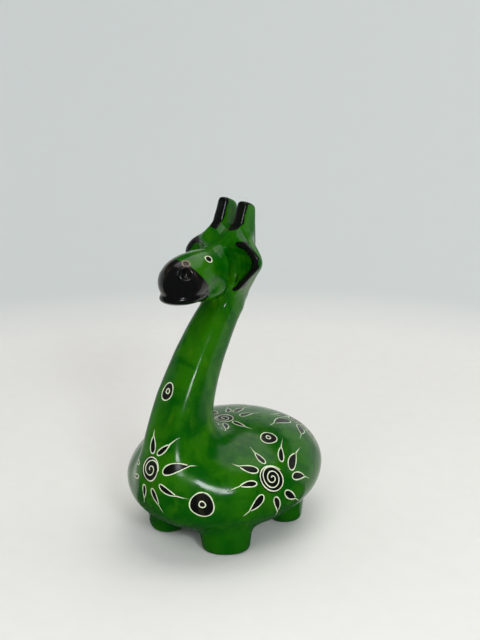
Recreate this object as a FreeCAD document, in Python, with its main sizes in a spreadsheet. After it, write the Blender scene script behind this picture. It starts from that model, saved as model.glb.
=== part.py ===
import FreeCAD, Part
import math
import os
import Sketcher

# A small giraffe carved from one block of soapstone. It stands on four stub feet, faces -Y, with its
# left side at +X, and its origin is on the floor under the middle of its body. Every carved feature is
# a solid of its own, and each meets its neighbours face to face.

DIMENSIONS = [
    # alias, value in mm or degrees, what it is
    ("body_width", 83.0, "pebble-shaped body, across"),
    ("body_length", 98.6, "body, chest to rump"),
    ("body_height", 48.4, "body, belly to back"),
    ("belly_clearance", 3.5, "floor to the lowest point of the belly"),
    ("foot_spread", 17.8, "foot centre from the middle plane"),
    ("foot_front", 21.2, "front foot centre ahead of the body's middle"),
    ("foot_rear", 20.8, "rear foot centre behind the body's middle"),
    ("foot_deep", 7.6, "half width of a foot, towards the body's middle"),
    ("foot_broad", 10.8, "half width of a foot, along the body's outline"),
    ("foot_belly", 7.5, "height of a foot's widest section"),
    ("foot_round", 12.0, "half height of the knob that a foot is cut from"),
    ("neck_root_ahead", 36.0, "foot of the neck's centreline ahead of the body's middle"),
    ("neck_root_height", 22.0, "foot of the neck's centreline above the floor"),
    ("neck_bend_radius", 118.0, "radius of the neck's backward bend"),
    ("neck_root_lean", 1.0, "lean of the neck's section deep in the body"),
    ("neck_root_radius", 6.0, "neck radius deep in the body"),
    ("neck_flare_lean", 9.0, "lean of the neck where it spreads into the body"),
    ("neck_flare_radius", 14.0, "neck radius where it spreads into the body"),
    ("neck_low_lean", 19.0, "lean of the neck's low section"),
    ("neck_low_radius", 11.2, "neck radius at its low section"),
    ("neck_middle_lean", 28.0, "lean of the neck's middle section"),
    ("neck_middle_radius", 9.9, "neck radius at its middle section"),
    ("neck_high_lean", 37.0, "lean of the neck's high section"),
    ("neck_high_radius", 9.1, "neck radius at its high section"),
    ("neck_top_lean", 48.0, "lean of the neck's last section, inside the head"),
    ("neck_top_radius", 8.2, "neck radius inside the head"),
    ("skull_width", 18.0, "block between the ears"),
    ("skull_front", 7.4, "front of the skull ahead of the body's middle"),
    ("skull_back", 10.6, "back of the skull behind the body's middle"),
    ("skull_foot", 101.5, "underside of the skull above the floor"),
    ("skull_foot_width", 9.0, "underside of the skull, across"),
    ("skull_flank_foot", 111.4, "lower end of the skull's flat flanks above the floor"),
    ("crown_height", 137.8, "crown, where the horns start, above the floor"),
    ("forehead_drop", 7.0, "height of the sloping forehead"),
    ("forehead_lean", 5.6, "how far the forehead leans back up to the crown"),
    ("skull_edge", 1.5, "rounding of the skull's corners behind"),
    ("ear_span", 44.6, "tip to tip across both ears"),
    ("ear_height", 123.4, "middle of the ear's root above the floor"),
    ("ear_root_tall", 24.0, "height of the ear's root"),
    ("ear_root_thick", 12.8, "thickness of the ear's root"),
    ("ear_root_behind", 0.7, "middle of the ear's root behind the body's middle"),
    ("ear_root_edge", 3.0, "rounding of the ear's root"),
    ("ear_tip_height", 126.5, "ear tip above the floor"),
    ("ear_tip_tall", 4.4, "height of the ear's blunt tip"),
    ("ear_tip_thick", 3.4, "thickness of the ear's blunt tip"),
    ("ear_tip_ahead", 1.6, "middle of the ear's tip ahead of the body's middle"),
    ("ear_tip_edge", 1.2, "rounding of the ear's tip"),
    ("bowl_out", 14.6, "middle of the ear's bowl from the middle plane"),
    ("bowl_ahead", 8.8, "middle of the ear's bowl ahead of the body's middle"),
    ("bowl_height", 121.8, "middle of the ear's bowl above the floor"),
    ("bowl_wide", 5.4, "half width of the scooped bowl"),
    ("bowl_deep", 5.2, "half depth of the scooped bowl"),
    ("bowl_tall", 8.4, "half height of the scooped bowl"),
    ("horn_spread", 5.6, "horn centre from the middle plane"),
    ("horn_top", 150.0, "top of the horns, which is the overall height"),
    ("horn_foot", 136.0, "foot of the horns, inside the skull"),
    ("horn_foot_wide", 6.4, "horn foot, across"),
    ("horn_foot_deep", 11.0, "horn foot, front to back"),
    ("horn_top_wide", 5.4, "horn top, across"),
    ("horn_top_deep", 7.2, "horn top, front to back"),
    ("horn_foot_behind", 3.9, "middle of a horn's foot behind the body's middle"),
    ("horn_lean", 3.7, "how far a horn leans back over its height"),
    ("horn_edge", 1.2, "rounding of a horn's edges"),
    ("muzzle_ahead", 26.0, "middle of the muzzle ahead of the body's middle"),
    ("muzzle_height", 121.2, "middle of the muzzle above the floor"),
    ("muzzle_half_width", 10.0, "half width of the muzzle"),
    ("muzzle_half_length", 12.2, "half length of the muzzle"),
    ("muzzle_half_height", 9.8, "half height of the muzzle"),
    ("bridge_width", 17.8, "nose bridge, across"),
    ("bridge_tall", 19.2, "nose bridge, top to bottom"),
    ("lip_ahead", 26.2, "middle of the lower lip ahead of the body's middle"),
    ("lip_height", 113.4, "middle of the lower lip above the floor"),
    ("lip_half_width", 8.9, "half width of the lower lip"),
    ("lip_half_length", 11.5, "half length of the lower lip"),
    ("lip_half_height", 3.9, "half height of the lower lip"),
    ("jaw_ahead", 12.5, "middle of the jaw ahead of the body's middle"),
    ("jaw_height", 115.0, "middle of the jaw above the floor"),
    ("jaw_half_width", 8.4, "half width of the jaw"),
    ("jaw_half_length", 11.5, "half length of the jaw"),
    ("jaw_half_height", 6.4, "half height of the jaw"),
    ("dye_edge_ahead", 26.0, "black dye's edge on the muzzle's flank ahead of the body's middle"),
    ("dye_edge_lean", 31.0, "lean of the plane in which the black dye ends"),
]

SHEET = "dims"
TOOL_SIZE = 120.0  # side of the blocks that only cut others
SET_TURN = 30.0  # any turn but zero, so that a rotation keeps its axis until its angle is bound
SAME = 0.01  # edges closer than this lie at the same place
SIDES = {"left": 1, "right": -1}  # the left side is at +X
NECK_SECTIONS = ["root", "flare", "low", "middle", "high", "top"]

doc = FreeCAD.newDocument("giraffe")
sheet = doc.addObject("Spreadsheet::Sheet", SHEET)
for row, (alias, value, note) in enumerate(DIMENSIONS, start=1):
    sheet.set(f"A{row}", note)
    sheet.set(f"B{row}", str(value))
    sheet.setAlias(f"B{row}", alias)
doc.recompute()


def dim(alias):
    """The expression that reads one cell of the sheet."""
    return f"{SHEET}.{alias}"


def size(alias):
    """The number in one cell of the sheet."""
    return float(sheet.get(alias))


def bind(thing, **expressions):
    """Binds properties to expressions; a double underscore in a name stands for a dot."""
    for path, expression in expressions.items():
        thing.setExpression(path.replace("__", "."), expression)
    return thing


def ellipsoid(name, across, along, up, x, y, z):
    """An ellipsoid with its half sizes and its centre given as expressions."""
    ball = doc.addObject("Part::Ellipsoid", name)
    bind(ball, Radius2=across, Radius3=along, Radius1=up)
    bind(ball, Placement__Base__x=x, Placement__Base__y=y, Placement__Base__z=z)
    return ball


def boolean(kind, base, tool, name):
    result = doc.addObject(f"Part::{kind}", name)
    result.Base = base
    result.Tool = tool
    return result


def trim(base, name, *tools):
    """What is left of base once every tool has been cut from it."""
    for number, tool in enumerate(tools, start=1):
        base = boolean("Cut", base, tool, f"{name}_trim{number}")
    return base


def origin_plane(body, role):
    return next(f for f in body.Origin.OriginFeatures if f.Role == role)


def sketch_on(body, role, name):
    """An empty sketch on one of the body's own origin planes."""
    sketch = body.newObject("Sketcher::SketchObject", name)
    sketch.AttachmentSupport = [(origin_plane(body, role), "")]
    sketch.MapMode = "FlatFace"
    return sketch


def loft(body, name, sections):
    """A loft through sketches that are already in the body."""
    feature = body.newObject("PartDesign::AdditiveLoft", name)
    feature.Profile = sections[0]
    feature.Sections = sections[1:]
    body.Tip = feature
    return feature


def ellipse_section(body, role, name, sizes, offset):
    """An ellipse, taller than it is wide, on an origin plane moved by an offset of three expressions."""
    sketch = sketch_on(body, role, name)
    bind(
        sketch,
        AttachmentOffset__Base__x=offset[0],
        AttachmentOffset__Base__y=offset[1],
        AttachmentOffset__Base__z=offset[2],
    )
    wide, tall = sizes
    top = FreeCAD.Vector(0, size(tall) / 2, 0)
    flank = FreeCAD.Vector(-size(wide) / 2, 0, 0)
    curve = sketch.addGeometry(Part.Ellipse(top, flank, FreeCAD.Vector(0, 0, 0)), False)
    sketch.exposeInternalGeometry(curve)
    long_axis, short_axis = curve + 1, curve + 2
    sketch.addConstraint(Sketcher.Constraint("Coincident", curve, 3, -1, 1))
    sketch.addConstraint(Sketcher.Constraint("Vertical", long_axis))
    for axis, alias in ((long_axis, tall), (short_axis, wide)):
        held = sketch.addConstraint(Sketcher.Constraint("Distance", axis, size(alias)))
        sketch.setExpression(f"Constraints[{held}]", dim(alias))
    return sketch


def measured(alias):
    """An expression for a cell, together with its present value."""
    return dim(alias), size(alias)


def make_body():
    """The pebble that everything stands on or grows from."""
    return ellipsoid(
        "body_pebble",
        f"{dim('body_width')} / 2",
        f"{dim('body_length')} / 2",
        f"{dim('body_height')} / 2",
        "0",
        "0",
        f"{dim('belly_clearance')} + {dim('body_height')} / 2",
    )


def make_floor_cutter():
    """A block whose top is the floor, which flattens the soles of the feet."""
    block = doc.addObject("Part::Box", "floor_cutter")
    block.Length = block.Width = block.Height = TOOL_SIZE
    block.Placement.Base = FreeCAD.Vector(-TOOL_SIZE / 2, -TOOL_SIZE / 2, -TOOL_SIZE)
    return block


def make_foot(name, side, end, body, floor):
    """A flattened knob under one corner of the body. Its broad way follows the body's outline."""
    ahead = "-" + dim("foot_front") if end == "front" else dim("foot_rear")
    out = f"{side} * {dim('foot_spread')}"
    knob = doc.addObject("Part::Ellipsoid", f"{name}_knob")
    knob.Placement.Rotation = FreeCAD.Rotation(FreeCAD.Vector(0, 0, 1), SET_TURN)
    bind(knob, Radius2=dim("foot_deep"), Radius3=dim("foot_broad"), Radius1=dim("foot_round"))
    bind(knob, Placement__Base__x=out, Placement__Base__y=ahead)
    bind(knob, Placement__Base__z=dim("foot_belly"))
    bind(knob, Placement__Rotation__Angle=f"atan2({ahead}; {out})")
    return trim(knob, name, floor, body)


def make_neck(cutters):
    """A neck that leans further back the higher it goes, lofted through circles on an arc."""
    body = doc.addObject("PartDesign::Body", "neck_body")
    sections = []
    for part in NECK_SECTIONS:
        lean = dim(f"neck_{part}_lean")
        radius = f"neck_{part}_radius"
        sketch = sketch_on(body, "XY_Plane", f"neck_{part}_section")
        sketch.AttachmentOffset.Rotation = FreeCAD.Rotation(FreeCAD.Vector(-1, 0, 0), SET_TURN)
        bind(
            sketch,
            AttachmentOffset__Base__y=f"{dim('neck_bend_radius')} * (1 - cos({lean} * 1 deg))"
            f" - {dim('neck_root_ahead')}",
            AttachmentOffset__Base__z=f"{dim('neck_root_height')}"
            f" + {dim('neck_bend_radius')} * sin({lean} * 1 deg)",
            AttachmentOffset__Rotation__Angle=lean,
        )
        circle = Part.Circle(FreeCAD.Vector(0, 0, 0), FreeCAD.Vector(0, 0, 1), size(radius))
        curve = sketch.addGeometry(circle, False)
        sketch.addConstraint(Sketcher.Constraint("Coincident", curve, 3, -1, 1))
        girth = sketch.addConstraint(Sketcher.Constraint("Radius", curve, size(radius)))
        sketch.setExpression(f"Constraints[{girth}]", dim(radius))
        sections.append(sketch)
    loft(body, "neck_loft", sections)
    return trim(body, "neck", *cutters)


def outline_sketch(body, role, name, points):
    """A closed outline on an origin plane. Each point is a pair of expressions with their values."""
    sketch = sketch_on(body, role, name)
    corners = [FreeCAD.Vector(x[1], y[1], 0) for x, y in points]
    count = len(corners)
    for number, corner in enumerate(corners):
        sketch.addGeometry(Part.LineSegment(corner, corners[(number + 1) % count]), False)
    for number in range(count):
        sketch.addConstraint(Sketcher.Constraint("Coincident", number, 2, (number + 1) % count, 1))
    for number, point in enumerate(points):
        for kind, (expression, value) in zip(("DistanceX", "DistanceY"), point):
            held = sketch.addConstraint(Sketcher.Constraint(kind, -1, 1, number, 1, value))
            sketch.setExpression(f"Constraints[{held}]", expression)
    return sketch


def make_skull():
    """The block behind the face: its front outline, padded from face to nape, with a sloping forehead."""
    body = doc.addObject("PartDesign::Body", "skull_body")
    half = (f"{dim('skull_width')} / 2", size("skull_width") / 2)
    foot_half = (f"{dim('skull_foot_width')} / 2", size("skull_foot_width") / 2)
    right_side = [
        (half, measured("crown_height")),
        (half, measured("skull_flank_foot")),
        (foot_half, measured("skull_foot")),
    ]
    left_side = [((f"-{x[0]}", -x[1]), z) for x, z in reversed(right_side)]
    outline = outline_sketch(body, "XZ_Plane", "skull_outline", right_side + left_side)
    pad = body.newObject("PartDesign::Pad", "skull_pad")
    pad.Profile = outline
    pad.SideType = "Two sides"
    bind(pad, Length=dim("skull_front"), Length2=dim("skull_back"))
    body.Tip = pad
    doc.recompute()
    front, crown = -size("skull_front"), size("crown_height")
    brow = [
        f"Edge{number}"
        for number, edge in enumerate(pad.Shape.Edges, start=1)
        if abs(edge.CenterOfMass.y - front) < SAME and abs(edge.CenterOfMass.z - crown) < SAME
    ]
    forehead = body.newObject("PartDesign::Chamfer", "skull_forehead")
    forehead.Base = (pad, brow)
    forehead.ChamferType = "Two distances"
    bind(forehead, Size=dim("forehead_lean"), Size2=dim("forehead_drop"))
    body.Tip = forehead
    doc.recompute()
    upright_behind = [
        f"Edge{number}"
        for number, edge in enumerate(forehead.Shape.Edges, start=1)
        if edge.BoundBox.ZLength > size("forehead_drop") and edge.CenterOfMass.y > size("skull_edge")
    ]
    rounding = body.newObject("PartDesign::Fillet", "skull_rounding")
    rounding.Base = (forehead, upright_behind)
    bind(rounding, Radius=dim("skull_edge"))
    body.Tip = rounding
    return body


def rounded_rectangle_section(body, role, name, wide, deep, radius, offset):
    """A centred rectangle with round corners, on an origin plane moved by three expressions."""
    sketch = sketch_on(body, role, name)
    bind(
        sketch,
        AttachmentOffset__Base__x=offset[0],
        AttachmentOffset__Base__y=offset[1],
        AttachmentOffset__Base__z=offset[2],
    )
    r = size(radius)
    half_u, half_v = size(wide) / 2 - r, size(deep) / 2 - r
    middles = [(half_u, -half_v), (half_u, half_v), (-half_u, half_v), (-half_u, -half_v)]
    up = FreeCAD.Vector(0, 0, 1)
    corners = []
    for number, (x, y) in enumerate(middles):
        start = (number - 1) * math.pi / 2
        circle = Part.Circle(FreeCAD.Vector(x, y, 0), up, r)
        corners.append(Part.ArcOfCircle(circle, start, start + math.pi / 2))
    for corner in corners:
        sketch.addGeometry(corner, False)
    sides = range(4, 8)
    for number in range(4):
        following = corners[(number + 1) % 4]
        sketch.addGeometry(Part.LineSegment(corners[number].EndPoint, following.StartPoint), False)
    for number, side in enumerate(sides):
        sketch.addConstraint(Sketcher.Constraint("Tangent", number, 2, side, 1))
        sketch.addConstraint(Sketcher.Constraint("Tangent", side, 2, (number + 1) % 4, 1))
        sketch.addConstraint(Sketcher.Constraint("Horizontal" if number % 2 else "Vertical", side))
    for number in range(3):
        sketch.addConstraint(Sketcher.Constraint("Equal", number, number + 1))
    right, top, left, bottom = sides
    sketch.addConstraint(Sketcher.Constraint("Symmetric", right, 1, left, 1, -1, 1))
    across = sketch.addConstraint(Sketcher.Constraint("DistanceX", left, 1, right, 1, size(wide)))
    along = sketch.addConstraint(Sketcher.Constraint("DistanceY", bottom, 1, top, 1, size(deep)))
    turn = sketch.addConstraint(Sketcher.Constraint("Radius", 0, r))
    sketch.setExpression(f"Constraints[{across}]", dim(wide))
    sketch.setExpression(f"Constraints[{along}]", dim(deep))
    sketch.setExpression(f"Constraints[{turn}]", dim(radius))
    return sketch


def make_ear(name, side):
    """An ear lofted from its root on the skull's flank to a blunt tip, with a scooped bowl in front."""
    body = doc.addObject("PartDesign::Body", f"{name}_body")
    root = rounded_rectangle_section(
        body, "YZ_Plane", f"{name}_root", "ear_root_thick", "ear_root_tall", "ear_root_edge",
        (dim("ear_root_behind"), dim("ear_height"), f"{side} * {dim('skull_width')} / 2"),
    )
    tip = rounded_rectangle_section(
        body, "YZ_Plane", f"{name}_tip", "ear_tip_thick", "ear_tip_tall", "ear_tip_edge",
        (f"-{dim('ear_tip_ahead')}", dim("ear_tip_height"), f"{side} * {dim('ear_span')} / 2"),
    )
    loft(body, f"{name}_loft", [root, tip])
    bowl = ellipsoid(
        f"{name}_bowl",
        dim("bowl_wide"),
        dim("bowl_deep"),
        dim("bowl_tall"),
        f"{side} * {dim('bowl_out')}",
        f"-{dim('bowl_ahead')}",
        dim("bowl_height"),
    )
    return trim(body, name, bowl)


def make_horn(name, side, skull):
    """A stubby flat-topped horn that tapers and leans back."""
    body = doc.addObject("PartDesign::Body", f"{name}_body")
    out = f"{side} * {dim('horn_spread')}"
    foot_at = dim("horn_foot_behind")
    foot = rounded_rectangle_section(
        body, "XY_Plane", f"{name}_foot", "horn_foot_wide", "horn_foot_deep", "horn_edge",
        (out, foot_at, dim("horn_foot")),
    )
    top = rounded_rectangle_section(
        body, "XY_Plane", f"{name}_top", "horn_top_wide", "horn_top_deep", "horn_edge",
        (out, f"{foot_at} + {dim('horn_lean')}", dim("horn_top")),
    )
    loft(body, f"{name}_loft", [foot, top])
    return trim(body, name, skull)


def make_muzzle_ball():
    return ellipsoid(
        "muzzle_ball",
        dim("muzzle_half_width"),
        dim("muzzle_half_length"),
        dim("muzzle_half_height"),
        "0",
        f"-{dim('muzzle_ahead')}",
        dim("muzzle_height"),
    )


def make_bridge():
    """The nose bridge: an oval bar from the middle of the muzzle back to the middle of the skull."""
    body = doc.addObject("PartDesign::Body", "bridge_body")
    outline = ellipse_section(
        body, "XZ_Plane", "bridge_section", ("bridge_width", "bridge_tall"), ("0", dim("muzzle_height"), "0")
    )
    bar = body.newObject("PartDesign::Pad", "bridge_pad")
    bar.Profile = outline
    bind(bar, Length=dim("muzzle_ahead"))
    body.Tip = bar
    return body


def make_lip_ball():
    return ellipsoid(
        "lip_ball",
        dim("lip_half_width"),
        dim("lip_half_length"),
        dim("lip_half_height"),
        "0",
        f"-{dim('lip_ahead')}",
        dim("lip_height"),
    )


def make_jaw_ball():
    return ellipsoid(
        "jaw_ball",
        dim("jaw_half_width"),
        dim("jaw_half_length"),
        dim("jaw_half_height"),
        "0",
        f"-{dim('jaw_ahead')}",
        dim("jaw_height"),
    )


def make_dye_block():
    """A block that holds everything ahead of the leaning plane in which the black dye ends."""
    block = doc.addObject("Part::Box", "dye_block")
    block.Length = block.Width = block.Height = TOOL_SIZE
    block.Placement.Rotation = FreeCAD.Rotation(FreeCAD.Vector(1, 0, 0), SET_TURN)
    lean = f"({dim('dye_edge_lean')} * 1 deg)"
    # the block's rear face passes through the dye's edge on the muzzle's flank
    rear = f"({TOOL_SIZE} * cos{lean} - {TOOL_SIZE / 2} * sin{lean})"
    low = f"({TOOL_SIZE} * sin{lean} + {TOOL_SIZE / 2} * cos{lean})"
    bind(
        block,
        Placement__Base__x=f"-{TOOL_SIZE / 2}",
        Placement__Base__y=f"-{dim('dye_edge_ahead')} - {rear}",
        Placement__Base__z=f"{dim('muzzle_height')} - {low}",
        Placement__Rotation__Angle=dim("dye_edge_lean"),
    )
    return block


def build():
    """Every node of the giraffe: its name and the object that holds its solid."""
    body = make_body()
    floor = make_floor_cutter()
    nodes = {"body": body}
    for end in ("front", "rear"):
        for word, side in SIDES.items():
            name = f"{end}_{word}_foot"
            nodes[name] = make_foot(name, side, end, body, floor)

    skull = make_skull()
    ears = {word: make_ear(f"{word}_ear", side) for word, side in SIDES.items()}
    for word, side in SIDES.items():
        nodes[f"{word}_ear"] = ears[word]
        nodes[f"{word}_horn"] = make_horn(f"{word}_horn", side, skull)

    face = boolean("Fuse", make_muzzle_ball(), make_bridge(), "face_lump")
    lip = make_lip_ball()
    jaw = make_jaw_ball()
    dye = make_dye_block()
    head = [skull, ears["left"], ears["right"], face]
    nodes["muzzle"] = boolean("Common", face, dye, "muzzle_black")
    nodes["snout"] = trim(face, "snout", dye, skull, ears["left"], ears["right"])
    nodes["lower_lip"] = trim(lip, "lower_lip", face)
    nodes["jaw"] = trim(jaw, "jaw", lip, *head)
    nodes["neck"] = make_neck([body, jaw, lip, *head])
    nodes["skull"] = skull
    return nodes


def check_and_write(nodes):
    """Stops on any failed feature or bad solid, then writes one STEP file for each node."""
    failed = [o.Name for o in doc.Objects if {"Invalid", "Error"} & set(o.State)]
    if failed:
        raise RuntimeError(f"these objects did not recompute: {failed}")
    for name, thing in nodes.items():
        shape = thing.Shape
        if shape.isNull() or not shape.isValid() or not shape.Solids:
            raise RuntimeError(f"{name} has no valid solid")
        print(f"{name}: {len(shape.Solids)} solid, {shape.Volume / 1000:.2f} cm3")
    os.makedirs("parts", exist_ok=True)
    for name, thing in nodes.items():
        thing.Label = name
        thing.Shape.exportStep(f"parts/{name}.step")


nodes = build()
doc.recompute()
check_and_write(nodes)
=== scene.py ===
import math
import bpy
import numpy as np
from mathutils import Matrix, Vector


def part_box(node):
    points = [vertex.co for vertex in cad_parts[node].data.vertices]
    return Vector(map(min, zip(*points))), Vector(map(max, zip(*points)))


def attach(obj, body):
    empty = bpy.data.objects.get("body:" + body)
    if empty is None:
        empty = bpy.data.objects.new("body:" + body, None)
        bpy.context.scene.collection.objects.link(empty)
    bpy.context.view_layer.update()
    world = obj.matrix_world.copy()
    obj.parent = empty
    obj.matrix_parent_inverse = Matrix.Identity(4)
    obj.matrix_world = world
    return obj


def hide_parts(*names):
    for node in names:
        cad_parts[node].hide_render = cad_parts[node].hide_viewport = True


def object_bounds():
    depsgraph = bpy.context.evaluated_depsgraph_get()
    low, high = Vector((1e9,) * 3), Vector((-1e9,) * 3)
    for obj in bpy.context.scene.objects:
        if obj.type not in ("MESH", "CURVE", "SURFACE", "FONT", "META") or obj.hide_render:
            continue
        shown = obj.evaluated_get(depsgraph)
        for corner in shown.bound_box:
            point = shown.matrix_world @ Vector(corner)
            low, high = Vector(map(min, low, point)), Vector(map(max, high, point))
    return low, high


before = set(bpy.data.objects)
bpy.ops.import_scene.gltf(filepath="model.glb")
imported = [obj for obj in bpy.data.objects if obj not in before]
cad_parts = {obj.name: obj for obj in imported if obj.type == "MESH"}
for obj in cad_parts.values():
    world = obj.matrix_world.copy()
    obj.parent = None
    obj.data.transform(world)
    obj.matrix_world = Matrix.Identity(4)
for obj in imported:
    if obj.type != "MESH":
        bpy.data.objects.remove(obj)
cad_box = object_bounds()

# A giraffe carved from one block of soapstone, dyed green and black, polished with wax and scratched with
# white suns. It faces -Y with its left side at +X. The whole stone is one smooth shape, given by its
# distance function, so that the neck flows into the body. Its mesh is then cut into one closed piece for
# each CAD node. The shape is worked out in millimetres.

MM = 0.001
TINY = 1e-9  # keeps a division from failing
FAR = 2.5  # a distance that counts as far from any mark
NET_STEP = 0.8  # spacing of the first mesh
FINE_STEP = 0.24  # spacing of the mesh beside a scratched line
FINEST_WANTED = 1.3 * FINE_STEP  # edges longer than this are halved on a line
COARSEST_WANTED = 1.6  # and longer than this anywhere
NET_MARGIN = 4.0  # room around the CAD box for what stands proud of it
CUT_CLEAR = 1e-4  # how far a point on a cut is moved off it
GROOVE_DEPTH = 0.14
GROOVE_SIDE = 0.3  # width of a groove's sloping side
LINE_HALF = 0.23  # half the width of a scratched line
rng = np.random.default_rng(7)


def node_box(node):
    low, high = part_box(node)
    return np.array(low) / MM, np.array(high) / MM


BODY_LOW, BODY_HIGH = node_box("body")
BODY_CENTRE = (BODY_LOW + BODY_HIGH) / 2
BODY_HALF = (BODY_HIGH - BODY_LOW) / 2
EAR_TIP_X = node_box("left_ear")[1][0]
SKULL_SIDE = node_box("left_ear")[0][0]
FACE_Y = node_box("skull")[0][1]
CROWN_Z = node_box("skull")[1][2]
HORN_TOP = node_box("left_horn")[1][2]
NOSE_TIP = node_box("muzzle")[0][1]
FOOT_CENTRES = []
for end in ("front", "rear"):
    foot_low, foot_high = node_box(f"{end}_left_foot")
    FOOT_CENTRES.append((foot_low[:2] + foot_high[:2]) / 2)


# ---------------------------------------------------------------- distance functions


def join(a, b, soft):
    """The union of two shapes with a fillet about that size between them."""
    h = np.maximum(soft - np.abs(a - b), 0.0)
    return np.minimum(a, b) - h * h / (4 * soft)


def meet(a, b, soft):
    """What two shapes share, with its edges rounded."""
    return -join(-a, -b, soft)


def ellipsoid(p, centre, half, tilt=0.0):
    """About the distance to an ellipsoid; tilt turns it about the X axis, nose down."""
    x, y, z = (p[i] - centre[i] for i in range(3))
    c, s = math.cos(tilt), math.sin(tilt)
    y, z = c * y + s * z, c * z - s * y
    k0 = np.sqrt((x / half[0]) ** 2 + (y / half[1]) ** 2 + (z / half[2]) ** 2)
    k1 = np.sqrt((x / half[0] ** 2) ** 2 + (y / half[1] ** 2) ** 2 + (z / half[2] ** 2) ** 2)
    return k0 * (k0 - 1) / np.maximum(k1, 1e-6)


def plane(p, normal, point):
    """The signed distance to a plane, positive on the side its normal points to."""
    n = np.array(normal) / np.linalg.norm(normal)
    return sum(n[i] * (p[i] - point[i]) for i in range(3))


# ---------------------------------------------------------------- the stone's features

NECK_ROOT = (-36.0, 22.0)  # y and z where the neck's centreline starts, deep in the body
NECK_BEND = 116.0  # radius of the centreline's backward bend
NECK_LEAN = (math.radians(9), math.radians(46))  # lean where the neck starts and ends
NECK_ALONG = [18, 33, 46, 58, 74, 86, 97]  # distances along the centreline
NECK_GIRTH = [11.8, 11.1, 10.4, 9.7, 8.9, 8.2, 7.8]  # and the neck's half width there
NECK_DEEPER = [1.20, 1.17, 1.10, 1.04, 1.0, 1.0, 1.0]  # and how many times deeper than wide it is
NECK_SQUARENESS = [3.4, 3.3, 3.4, 3.3, 3.1, 2.8, 2.6]
NECK_FLARE = 13.0  # fillet between the neck and the body
NECK_FLARE_UNEVEN = 3.5  # more of it on the left breast, less on the right


def body_shape(p):
    return ellipsoid(p, BODY_CENTRE, BODY_HALF)


def neck_shape(p):
    """A leaning arc whose section is a square with very round corners."""
    y = NECK_ROOT[0] + NECK_BEND - p[1]
    z = p[2] - NECK_ROOT[1]
    rho = np.hypot(y, z)
    lean = np.arctan2(z, y)
    held = np.clip(lean, *NECK_LEAN)
    girth = np.interp(NECK_BEND * held, NECK_ALONG, NECK_GIRTH)
    depth = np.interp(NECK_BEND * held, NECK_ALONG, NECK_DEEPER) * girth
    beyond = rho * np.sin(np.abs(lean - held))
    aside = rho * np.cos(lean - held) - NECK_BEND
    k = np.interp(NECK_BEND * held, NECK_ALONG, NECK_SQUARENESS)
    section = (np.abs(p[0] / girth) ** k + np.abs(aside / depth) ** k) ** (1 / k)
    return (np.hypot(section * girth, beyond) - girth) * 0.95


FOOT_IN, FOOT_WIDE = 8.4, 10.5  # half widths towards the body's middle and along its outline
FOOT_SQUARENESS = 2.25
FOOT_TAPER = 0.012  # how much a foot widens with each mm of height
FOOT_TOP = 16.0  # where it ends, inside the body
SOLE_EDGE = 2.5  # rounding of its sole


def foot_shape(p, centre):
    """A stub foot whose broad way follows the body's outline."""
    x, y = np.abs(p[0]) - centre[0], p[1] - centre[1]
    out = centre / np.linalg.norm(centre)
    radial, along = x * out[0] + y * out[1], y * out[0] - x * out[1]
    grow = 1 + FOOT_TAPER * p[2]
    k = FOOT_SQUARENESS
    q = np.abs(radial / (FOOT_IN * grow)) ** k + np.abs(along / (FOOT_WIDE * grow)) ** k
    side = (q ** (1 / k) - 1) * FOOT_IN
    return meet(meet(side, -p[2], SOLE_EDGE), p[2] - FOOT_TOP, 2)


EAR_TIP = (EAR_TIP_X + 1.2, -2.3, 126.4)  # where the ear's upper and lower faces would meet unrounded
EAR_ROUND = 4.5  # rounding of the ear's tip
EAR_SHOULDER = (14.6, -2.8, 135.4)  # where the ear's upper edge turns down
SHOULDER_ROUND = 4.0
CROWN_ROUND = 3.0
EAR_FRONT_Y = -3.4  # the ear's front face at its tip
FOREHEAD = (4.0, -7.6, 131.2)  # a point of the sloping forehead


def ear_planes(p):
    """The wedge of head and ears: its upper, lower and front faces, mirrored across the middle."""
    side = (np.sqrt(p[0] ** 2 + 0.5), p[1], p[2])
    upper = plane(side, (0.38, 0.16, 0.91), EAR_SHOULDER)
    upper = meet(upper, plane(side, (0.73, 0.22, 0.64), EAR_SHOULDER), SHOULDER_ROUND)
    lower = plane(side, (0.724, 0.02, -0.69), EAR_TIP)
    front = plane(side, (0.18, -0.98, -0.02), (EAR_TIP_X, EAR_FRONT_Y, EAR_TIP[2]))
    return side, upper, lower, front


def head_shape(p):
    """The wedge that holds the cranium and both ears, with a sloping forehead."""
    side, upper, lower, front = ear_planes(p)
    back = plane(side, (0.45, 0.89, 0.03), (EAR_TIP_X, 0.0, EAR_TIP[2]))
    forehead = plane(side, (0.06, -0.70, 0.70), FOREHEAD)
    d = meet(upper, lower, EAR_ROUND)
    d = meet(d, p[2] - CROWN_Z + 0.2, CROWN_ROUND)
    d = meet(d, meet(front, back, 1.5), 2.0)
    return meet(d, forehead, 2.5)


BOWL = (11.2, -7.2, 123.0)  # middle of the space scooped out of an ear
BOWL_HALF = (7.5, 6.0, 10.0)
BOWL_SILL = 2.7  # thickness of the ear below it
BOWL_UNEVEN = 0.4  # half of how much shallower the right ear's is


def ear_hollow(p):
    """The space scooped out of each ear, with the marks of the gouge in it."""
    side, _, lower, _ = ear_planes(p)
    bowl = ellipsoid(side, BOWL, BOWL_HALF)
    gouge = np.sin(1.5 * side[0] + 1.1 * p[2]) * np.sin(0.8 * p[2] - 0.9 * side[0] + 1)
    shallower = BOWL_UNEVEN * (1 - np.tanh(p[0]))
    return meet(bowl, lower + BOWL_SILL, 2.5) + shallower + 0.12 * gouge


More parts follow.
